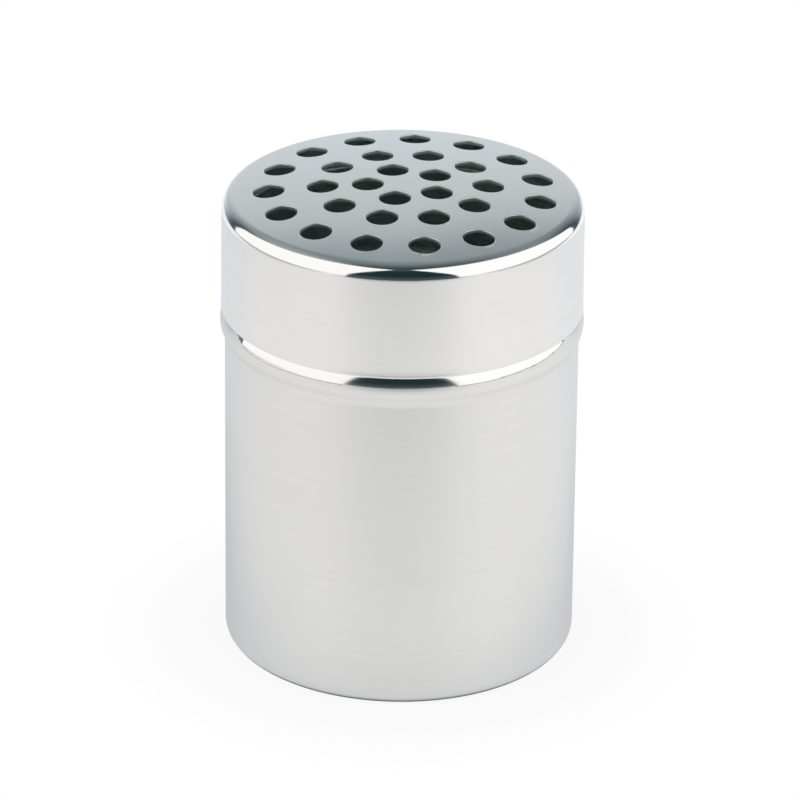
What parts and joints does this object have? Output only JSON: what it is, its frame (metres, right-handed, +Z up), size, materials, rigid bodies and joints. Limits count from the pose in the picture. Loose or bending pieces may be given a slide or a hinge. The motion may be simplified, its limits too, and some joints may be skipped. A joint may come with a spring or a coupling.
{
  "type": "spice shaker dispenser",
  "caption": "Cylindrical steel spice shaker: a drawn cup with a rounded shoulder, and a domed push-on lid pierced by rings of round sprinkling holes.",
  "frame": {"origin": "middle of the flat base, on the surface that the shaker stands on", "axes": "+Z up along the turned shape's axis, from the base to the sprinkling crown; X and Y are free, and the first sprinkling hole of each ring lies 38.1 degrees from +X towards +Y"},
  "size_m": [0.07, 0.07, 0.095],
  "materials": {
    "cup_steel": "fine horizontal brushing, with a polished rounding above the shoulder",
    "lid_steel": "satin crown, polished corner, fine horizontal brushing on the skirt"
  },
  "bodies": {
    "cup": {"shaker_body": "cup_steel"},
    "lid": {"perforated_lid": "lid_steel"}
  },
  "joints": [
    {"name": "lid_lift", "type": "slide", "parent": "cup", "child": "lid", "axis": [0, 0, 1], "range_m": [0, 0.025]}
  ]
}
